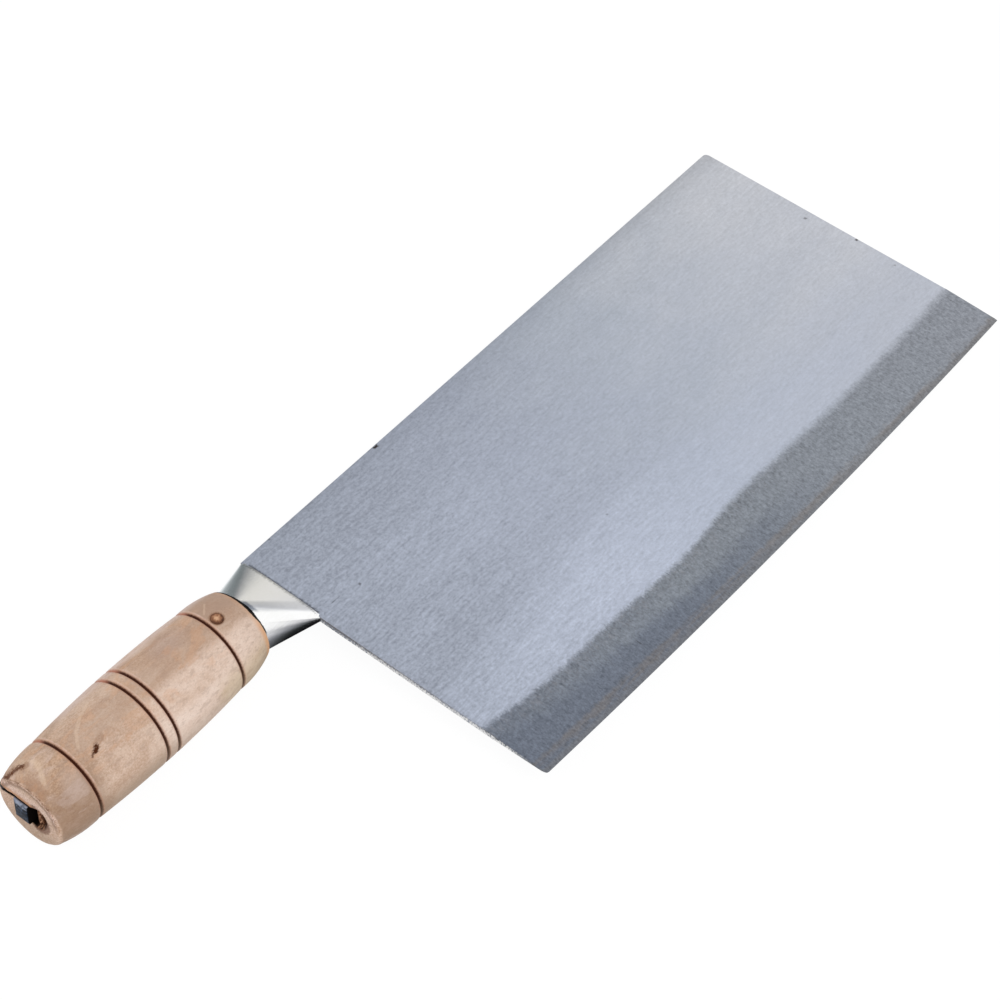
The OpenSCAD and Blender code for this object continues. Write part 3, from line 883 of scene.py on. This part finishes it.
# Paler and darker clouds of the butt: place, half lengths, tone and strength
BUTT_SPOTS = (((-86, -7.5), (4.5, 4.5), (204, 180, 166), 0.55),
              ((-94.5, -1.5), (3, 5.5), (150, 110, 82), 0.45))
FAR_PINK = (228, 208, 202)
SHADE_TONE = (170, 142, 124)
LILAC_TONE = (166, 146, 142)
LILAC_SPOT = ((-40, 3.5), (8, 5))
ORANGE_TONE = (208, 156, 116)
YELLOW_TONE = (198, 180, 138)
FACE_STOPS = ((0.3, (184, 148, 122)), (0.7, (218, 190, 170)))
FACE_ORANGE = (196, 142, 104)
FACE_PINK = (230, 203, 190)
FACE_CREST = (130, 96, 76)
SLOT_RIM = (112, 72, 50)
BURNT_CORE = (66, 29, 10)
BURNT_LOW = (92, 66, 44)
BURNT_RED = (196, 124, 98)
BURNT_HALO = (176, 124, 98)
BURNT_RIM = (224, 164, 112)
CRACK_AND_SHADE_BLACK = (14, 9, 7)
GROOVE_LIP_HIGHLIGHT = (238, 212, 198)
GREY_STREAK = (168, 144, 128)
CHIP_BROWN = (80, 42, 20)
MARK_BROWN = (90, 44, 18)
STAIN_BROWN = (126, 84, 52)
ARC_LIGHT = (230, 204, 178)
# Light lines of the figure and dark marks, as (x, height over the centre line) of their ends
LIGHT_LINES = (((-67.5, 5.3), (-71.6, 3.8), 0.6), ((-71.6, 3.8), (-75.8, 1), 0.6),
               ((-75.8, 1), (-78.6, -2.3), 0.6), ((-91.8, 6.6), (-90.1, 5.8), 1.1),
               ((-90.1, 5.8), (-88.9, 3.9), 1), ((-88.9, 3.9), (-89, 1.8), 1), ((-89, 1.8), (-90, -0.2), 0.9),
               ((-90, -0.2), (-91.6, -2.8), 0.9), ((-22.8, 5.3), (-26.2, 2.2), 0.4))
DARK_LINES = (((-94.4, 8.2), (-92.9, 6.9), 0.9), ((-92.9, 6.9), (-91.2, 5.6), 1.2),
              ((-94.6, 9.6), (-94.4, 7.6), 1.1))
STAIN_LINES = (((-94.6, 9.4), (-92.9, 6.9), 2.2), ((-92.9, 6.9), (-90.8, 5), 2))
CHIP_LINE = ((-76.2, -6), (-75, -5.5), 0.95)
CHIP_TAIL = ((-77.7, -6.5), (-76.2, -6), 0.4)
CHIP_STAIN = ((-74.6, -5.2), (-72.4, -4.4), 1.3)
# The crack and the splinter of the end grain, as (height over the centre line, z) of their ends
CRACK_LINES = (((8.6, 2.3), (11.6, 3.6), 1.05, 1.1), ((4.7, 3.1), (7.2, 2.5), 0.85, 0.8),
               ((7.2, 2.5), (9.4, 2.1), 0.85, 0.8))
SPLINTER_LINE = ((4.98, 3), (4.98, -1.2), 0.35)
POCKET_STOPS = ((0.4, (36, 20, 14)), (0.52, (92, 56, 36)), (0.68, (196, 148, 112)))


def off_pin(x, y):
    """Distance from the pin's middle, across the flank."""
    return ((x - PIN_PLACE.x) * (x - PIN_PLACE.x) + (y - PIN_PLACE.y) * (y - PIN_PLACE.y)).root()


def wood_finish():
    """Bare wood: figure and pores, clouds of colour, burnt grooves, the worn end grain and the marks, with
    painted shade and highlights.
    """
    finish = Finish("bare turned wood", {"Specular IOR Level": 0.3})
    x, y, z = finish.axes()
    dy = y + AXIS_DROP
    radial = (dy * dy + z * z).root()
    fibre = finish.grain((0.6, 4, 4), 3, 0.6)
    pores = finish.grain((0.7, 2.4, 2.4), 2, 0.5, (7, 3, 1))
    patch = finish.grain((0.07, 0.12, 0.12), 3, 0.55, (2, 4, 6), 0.6)
    speckle = finish.grain((1.6, 1.9, 1.9), 4, 0.75, (5, 5, 5))
    flecks = finish.grain((1.1, 2.6, 2.6), 2, 0.6, (9, 1, 4))
    smudge = finish.grain((0.32, 0.6, 0.6), 4, 0.7, (6, 6, 2))
    hue = finish.grain((0.1, 0.22, 0.22), 4, 0.6, (3, 8, 1), 0.8)
    mottle = (speckle.sway(1.05) + fibre.sway(0.16)) * (1.1 - x.rise(-72, -50) * 0.32)
    edge_side = dy.rise(0, -6)
    # Painted shade: the underside, on the edge side, darkened and greyed
    under = z.rise(5, -3) * edge_side
    pale = (dy + patch.sway(9)).rise(-3.9, -7.6) * (0.3 + x.rise(-62, -55) * 0.7)
    brown = (x + hue.sway(20)).rise(-73.5, -88) * (0.65 + edge_side * 0.25)
    under_shade_reach = 0.7 - x.rise(-60, -50) * 0.35 + x.rise(-34, -27) * 0.2
    ridge = (dy + 1.2 + hue.sway(5)).near(1.5, 6.5) * (x.rise(-84, -80) + x.rise(-89, -93))

    def cloud(middle, half):
        """1 in the middle of a patch of the side and 0 outside it, with an uneven outline."""
        off_x, off_dy = (x - middle[0]) * (1 / half[0]), (dy - middle[1]) * (1 / half[1])
        return (1 - off_x * off_x - off_dy * off_dy + hue.sway(1.2)).larger(0).smaller(1)

    orange = hue.rise(0.48, 0.62) * z.rise(7, 11.5) * x.rise(-24, -30)
    yellow = z.rise(8, 2) * edge_side * (x + hue.sway(16)).rise(-40, -32)
    on_butt = x.rise(-81, -85)
    tone = finish.ramp(patch + mottle, WOOD_STOPS).coated(
        (finish.ramp(patch + mottle, PALE_STOPS), pale),
        (finish.ramp(patch + mottle * 1.4, BUTT_STOPS), brown),
        (UNDER_SHADE, under * under_shade_reach),
        (SHADE_TONE, ridge * 0.4),
        (BUTT_LOW, x.rise(-76, -84) * dy.rise(-5.5, -10) * 0.62),
        *[(colour, cloud(middle, half) * z.rise(0, 3) * share) for middle, half, colour, share in BUTT_SPOTS],
        (SHADE_TONE, dy.rise(-2.5, 1) * x.rise(-30, -26) * 0.6),
        (LILAC_TONE, cloud(*LILAC_SPOT) * 0.32),
        (FAR_PINK, dy.rise(7, 9.8) * x.rise(-78, -70) * 0.5),
        (ORANGE_TONE, orange * 0.28),
        (YELLOW_TONE, yellow * 0.35),
        (GREY_STREAK, pores.rise(0.58, 0.72) * 0.25),
        (FAR_PINK, hue.rise(0.48, 0.36) * on_butt * 0.22),
        (SHADE_TONE, smudge.rise(0.5, 0.64) * (0.36 + on_butt * 0.12)),
        (STAIN_BROWN, flecks.rise(0.66, 0.74) * 0.35))

    def drawn_lines(lines, ragged):
        """1 along a few drawn lines of the upper side, with ragged edges."""
        at_x = x + speckle.sway(ragged) + smudge.sway(1.6)
        at_dy = dy + smudge.sway(2.4) + speckle.sway(ragged)
        return reduce(Wire.larger, [finish.stroke(at_x, at_dy, *line) for line in lines]) * z.rise(0, 2)

    marked = drawn_lines(DARK_LINES, 3)
    # Painted highlight on the lip just ahead of each groove, on the upper side
    lip_highlight = reduce(Wire.larger, [(x - (groove + 0.85)).near(0.05, 0.42) for groove in GROOVES])
    burn = reduce(Wire.smaller, [abs(x - groove) for groove in GROOVES]) + speckle.sway(0.4)
    turned_away = dy.rise(5.8, 9.4)
    burnt = (1 - burn.rise(0.26, 0.6 + under * 0.3)) * (1 - turned_away * 0.35)
    rim = (x + speckle.sway(1.6)).rise(HANDLE_FRONT - 2.6, HANDLE_FRONT - 0.8)
    # Painted shade on the wood's front rim, over its upper side, where it meets the collar
    front_rim_shade = x + speckle.sway(0.9) + z.rise(9.8, 7.4) * -0.5
    front_rim_shade = front_rim_shade.rise(HANDLE_FRONT - 0.85, HANDLE_FRONT - 0.6) * (z + speckle.sway(3)).rise(3.5, 6.5)
    tone = tone.coated(
        (ARC_LIGHT, drawn_lines(LIGHT_LINES, 1.4) * (0.25 + x.rise(-84, -88) * 0.08)),
        (STAIN_BROWN, drawn_lines(STAIN_LINES, 2.6) * 0.5),
        (MARK_BROWN, marked * 0.85),
        (GROOVE_LIP_HIGHLIGHT, lip_highlight * z.rise(4, 9) * (0.15 + smudge.rise(0.4, 0.6) * 0.3)),
        (BURNT_HALO, (1 - burn.rise(0.45, 1.2)) * 0.45),
        (finish.blend(under, BURNT_CORE, BURNT_LOW).coated((BURNT_RED, turned_away)), burnt),
        (BURNT_RIM, rim * (0.2 + dy.rise(-4.5, -10) * 0.5)),
        (CRACK_AND_SHADE_BLACK, front_rim_shade))
    # The end grain: orange beside the slot, a pale band over it, a dark worn crest around the rim
    over_slot = z + hue.sway(2) + speckle.sway(1.2)
    pale_band = over_slot.rise(3.4, 4.8) * over_slot.rise(8.2, 6.6) * speckle.rise(0.36, 0.56)
    crest = (radial + speckle.sway(3.6) + smudge.sway(2.4) - 9.8).near(0.1, 1) * z.rise(0, 3)
    slot_y, slot_z = (dy + 2.6) * (1 / 4.3), (z + 0.2) * (1 / 5)
    slot_rim = ((slot_y * slot_y + slot_z * slot_z).root() + speckle.sway(0.5)).rise(1.2, 1.02)
    face = finish.ramp(speckle.sway(2.2) + smudge * 0.9 + 0.05, FACE_STOPS).coated(
        (FACE_CREST, pores.rise(0.54, 0.68) * 0.4),
        (FACE_PINK, pale_band * 0.7),
        (FACE_ORANGE, (over_slot - 3.8).near(0.3, 1.5) * dy.rise(-6, -3) * 0.85),
        (FACE_CREST, crest * 0.75),
        # painted shade over the lower part of the end grain
        (UNDER_SHADE, z.rise(-2, -7) * 0.4),
        (SLOT_RIM, slot_rim * dy.rise(-0.5, -1.8) * 0.8),
        (FACE_PINK, finish.stroke(dy, z, *SPLINTER_LINE)))
    end_grain = (x + smudge.sway(1.4) + speckle.sway(1.2)).rise(HANDLE_BACK + 1, HANDLE_BACK + 0.3)
    # Painted shade in the gap of the slot beside the tang
    gap_shade = dy.rise(-2.1, -1.3)
    pocket = finish.ramp(finish.grain((0.6, 1.6, 0.9), 3, 0.6, (0, 2, 9)), POCKET_STOPS)
    deep = x.rise(HANDLE_BACK + 0.05, HANDLE_BACK + 0.5) * radial.rise(9.9, 9.7)
    end_crack = reduce(Wire.larger, [finish.stroke(dy, z + speckle.sway(ragged), start, end, width)
                                     for start, end, width, ragged in CRACK_LINES])
    end_crack = end_crack * x.rise(HANDLE_BACK + 2.2, HANDLE_BACK + 1.2)
    chip_x, chip_dy = x + speckle.sway(3.4), dy + smudge.sway(2.2) + speckle.sway(2)
    chip = finish.stroke(chip_x, chip_dy, *CHIP_LINE).larger(finish.stroke(chip_x, chip_dy, *CHIP_TAIL) * 0.7)
    stain = finish.stroke(chip_x, dy + smudge.sway(2), *CHIP_STAIN)
    upper = z.rise(0, 1)
    # A stain around the pin, with painted shade of the hollow it sits in
    pin_stain_and_shade = (1 - (off_pin(x, y) + speckle.sway(0.7)).rise(1.7, 2.5)) * upper
    tone = tone.coated(
        (face, end_grain),
        (pocket.coated((CRACK_AND_SHADE_BLACK, gap_shade)), deep),
        (CRACK_AND_SHADE_BLACK, end_crack),
        (STAIN_BROWN, stain * upper * 0.28),
        (CHIP_BROWN, chip * upper),
        (STAIN_BROWN, pin_stain_and_shade * 0.8))
    # Metal-like darkening of the marks and the crack, and of the painted shade at the rim and in the gap
    marks_and_shade = reduce(Wire.larger, (front_rim_shade, end_crack, deep * gap_shade, chip * 0.8 * upper, marked * 0.7))
    finish.paint(base_color=tone, roughness=0.58 + patch.sway(0.12), metallic=marks_and_shade * 0.9,
                 normal=finish.relief(fibre * 0.5 + speckle * 0.8, 0.00007))
    return finish


lay_down("turned_handle", wood, wood_finish(), "handle", 40)

# The pin is a copper rivet: thick wire put through the handle, the bolster and the tang, and hammered
# over at both ends, which left them slightly hollow.
PIN_REACH = 13.38
PIN_PROFILE = ((0, PIN_REACH - 0.1), (0.5, PIN_REACH - 0.13), (0.95, PIN_REACH - 0.04), (1.3, PIN_REACH),
               (1.6, PIN_REACH - 0.08), (1.78, PIN_REACH - 0.25), (PIN_RADIUS, PIN_REACH - 0.5))
# Copper tones from the middle of the head outwards: a painted highlight in the middle, painted shade towards
# the rim
PIN_HIGHLIGHT_AND_SHADE_STOPS = ((0.15, (212, 170, 136)), (0.45, (160, 114, 84)), (0.75, (112, 72, 48)),
             (0.95, (86, 54, 38)))
pin_side = PIN_PROFILE + tuple((radius, -height) for radius, height in reversed(PIN_PROFILE))
pin = spun([(PIN_PLACE.x + radius, PIN_PLACE.y, height) for radius, height in pin_side], PIN_PLACE, (0, 0, 1),
           64)
bmesh.ops.recalc_face_normals(pin, faces=pin.faces)
copper = Finish("dull copper", {"Metallic": 0.6})
pin_x, pin_y, pin_z = copper.axes()
hammer = copper.grain((1.4, 1.4, 1.4), 3, 0.6)
copper.paint(base_color=copper.ramp(off_pin(pin_x, pin_y) * 0.5 + hammer.sway(0.9), PIN_HIGHLIGHT_AND_SHADE_STOPS),
             roughness=0.42 + hammer * 0.2, normal=copper.relief(hammer, 0.00015))
lay_down("riveted_pin", pin, copper, "handle_pin", 60)

# The shim is a split of wood, driven into the slot beside the tang's end to tighten it, and frayed where
# it was hammered.
SHIM_OUTLINE = ((-94.6, -15.9), (-94.9, -16.6), (-94.3, -17.2), (-94.8, -17.7), (-82.9, -16.2), (-82.9, -14.2))
HALF_SHIM = 2.6
SHIM_STOPS = ((0.38, (58, 34, 22)), (0.54, (140, 94, 66)), (0.7, (206, 168, 138)))
shim = prism(SHIM_OUTLINE, -HALF_SHIM, HALF_SHIM)
split_wood = Finish("split wood", {"Roughness": 0.8, "Specular IOR Level": 0.2})
split_wood.axes()
splinters = split_wood.grain((0.4, 2.5, 1.2), 3, 0.6)
split_wood.paint(base_color=split_wood.ramp(splinters, SHIM_STOPS), normal=split_wood.relief(splinters, 0.0003))
lay_down("split_shim", shim, split_wood, "tang_wedge")

# A pale studio table, a soft key light over the handle's side, a fill light behind it, and cards that
# only the polished bolster reflects.
TABLE_SIZE = 6
TABLE_GLOW = 1.04
TABLE_SHOWN = 0.9
WORLD_LIGHT = 0.62
WHITE = (1, 1, 1, 1)
floor_finish = Finish("white table", {"Base Color": (0.9, 0.9, 0.9, 1), "Roughness": 0.9,
                                      "Specular IOR Level": 0})
seen = floor_finish.seen_by("Is Camera Ray", "Is Glossy Ray", "Is Transmission Ray")
glow = floor_finish.node("Emission", None, {"Color": WHITE, "Strength": TABLE_GLOW})
floor_finish.feed(floor_finish.surface, floor_finish.node("MixShader", None, {
    0: seen * TABLE_SHOWN, 1: Wire(floor_finish, floor_finish.shader.outputs[0]), 2: glow}))
table = bmesh.new()
bmesh.ops.create_grid(table, x_segments=1, y_segments=1, size=TABLE_SIZE)
add_object("floor", table, floor_finish)

sky = Finish("studio", {"Color": WHITE}, bpy.data.worlds)
sky.paint(strength=sky.node("MapRange", None, {
    "Value": sky.seen_by("Is Camera Ray", "Is Glossy Ray"), "To Min": WORLD_LIGHT, "To Max": 1}))
scene.world = sky.block


def softbox(name, place, aim, width, height, power):
    data = bpy.data.lights.new(name, "AREA")
    data.shape = "RECTANGLE"
    data.size = width
    data.size_y = height
    data.energy = power
    lamp = bpy.data.objects.new(name, data)
    lamp.location = place
    lamp.rotation_euler = (Vector(aim) - Vector(place)).to_track_quat("-Z", "Y").to_euler()
    lamp.visible_glossy = False
    scene.collection.objects.link(lamp)


# Place, aim, width, height and power
softbox("key", (-0.28, -0.55, 0.8), (-0.06, 0.03, 0), 0.6, 0.6, 4.1)
softbox("fill", (-0.3, 0.75, 0.45), (-0.1, 0.04, 0), 0.6, 0.4, 1.6)


def studio_card(name, bm, tone_of):
    """A card that only polished metal sees, as bright at each point as its finish says."""
    finish = Finish(name, {})
    tone = tone_of(finish, *finish.parts(finish.node("TexCoord", output=3)))
    light = finish.node("Emission", None, {"Color": tone, "Strength": CARD_STRENGTH})
    finish.feed(finish.surface, light)
    card = add_object(name, bm, finish)
    card.visible_camera = card.visible_diffuse = card.visible_shadow = False


def sheet(low, high):
    """A rectangle between two opposite corners."""
    bm = bmesh.new()
    bm.faces.new([bm.verts.new(corner) for corner in (low, (high[0], *low[1:]), high, (low[0], *high[1:]))])
    return bm


CARD_STRENGTH = 1.05
BOLSTER_SPOT = Vector((-0.066, 0.041))
WALL_DISTANCE = 0.6
WALL_HEIGHT = 0.26
WALL_TURNS = range(9, 58, 2)
WALL_SPAN = 60
# Greys of the studio wall that the bolster's flat top reflects, from its turn in degrees
WALL_GREYS = ((11, (252, 252, 253)), (14, (234, 235, 238)), (18, (206, 206, 210)), (23, (208, 208, 209)),
              (26, (231, 228, 221)), (28, (203, 202, 198)), (30, (176, 176, 175)), (33, (144, 145, 146)),
              (36, (124, 128, 130)), (40, (113, 119, 121)), (47, (115, 122, 124)), (56, (126, 133, 137)))
TABLE_GREYS = ((0, (250, 250, 250)), (0.03, (222, 226, 228)), (0.07, (164, 170, 173)),
               (0.19, (128, 135, 138)), (1, (115, 122, 124)))
SPINE_SIDE_SHEET = ((-0.13, 0.06, 0.0006), (0.6, 0.62, 0.0006))
EDGE_SIDE_SHEET = ((-0.1, -0.075, 0.0008), (-0.05, 0.048, 0.0008))
UPRIGHT_SHEET = ((-0.1, -0.075, 0.0008), (-0.03, -0.075, 0.07))
TABLE_START = 0.06
TABLE_REACH = 0.44
EDGE_SIDE_GREYS = ((0.03, (20, 20, 22)), (0.16, (29, 31, 32)), (0.26, (60, 62, 64)),
                   (0.35, (95, 97, 101)), (0.45, (133, 135, 141)), (0.58, (176, 177, 181)),
                   (0.68, (214, 213, 217)), (0.79, (236, 236, 236)), (0.95, (253, 253, 253)))


def wall_tone(finish, x, y, z):
    turn = y.math("ARCTAN2", y - BOLSTER_SPOT.y, x - BOLSTER_SPOT.x)
    spot = finish.node("TexCoord", output=3)
    streaks = finish.node("TexNoise", None, {"Vector": spot, "Scale": 14, "Detail": 3})
    turn = turn * (1 / radians(WALL_SPAN)) + streaks.sway(0.05)
    tone = finish.ramp(turn, [(place / WALL_SPAN, grey) for place, grey in WALL_GREYS])
    return tone.coated(((253, 253, 254), z.rise(WALL_HEIGHT * 0.72, WALL_HEIGHT * 0.97)))


def table_tone(finish, x, y, z):
    return finish.ramp((y - TABLE_START) * (1 / TABLE_REACH), TABLE_GREYS)


def table_shade_tone(finish, x, y, z):
    """Painted shade of the table beside the bolster, seen only in its reflection: darkest under the bolster's
    mouth, paler towards the handle and upwards.
    """
    share = (x + 0.062) * (-1 / 0.016) + z * 38 - y.rise(-0.005, 0.028) * 0.4
    return finish.ramp((share + 0.3) * (1 / 1.9), EDGE_SIDE_GREYS)


wall = bmesh.new()
wall_foot = [wall.verts.new((BOLSTER_SPOT.x + WALL_DISTANCE * cos(radians(turn)),
                             BOLSTER_SPOT.y + WALL_DISTANCE * sin(radians(turn)), 0))
             for turn in WALL_TURNS]
foot_edges = [wall.edges.new(pair) for pair in zip(wall_foot, wall_foot[1:])]
wall_top = verts_of(bmesh.ops.extrude_edge_only(wall, edges=foot_edges))
bmesh.ops.translate(wall, vec=(0, 0, WALL_HEIGHT), verts=wall_top)
studio_card("far wall card", wall, wall_tone)
studio_card("spine side table card", sheet(*SPINE_SIDE_SHEET), table_tone)
studio_card("edge side table card", sheet(*EDGE_SIDE_SHEET), table_shade_tone)
studio_card("edge side card", sheet(*UPRIGHT_SHEET), table_shade_tone)
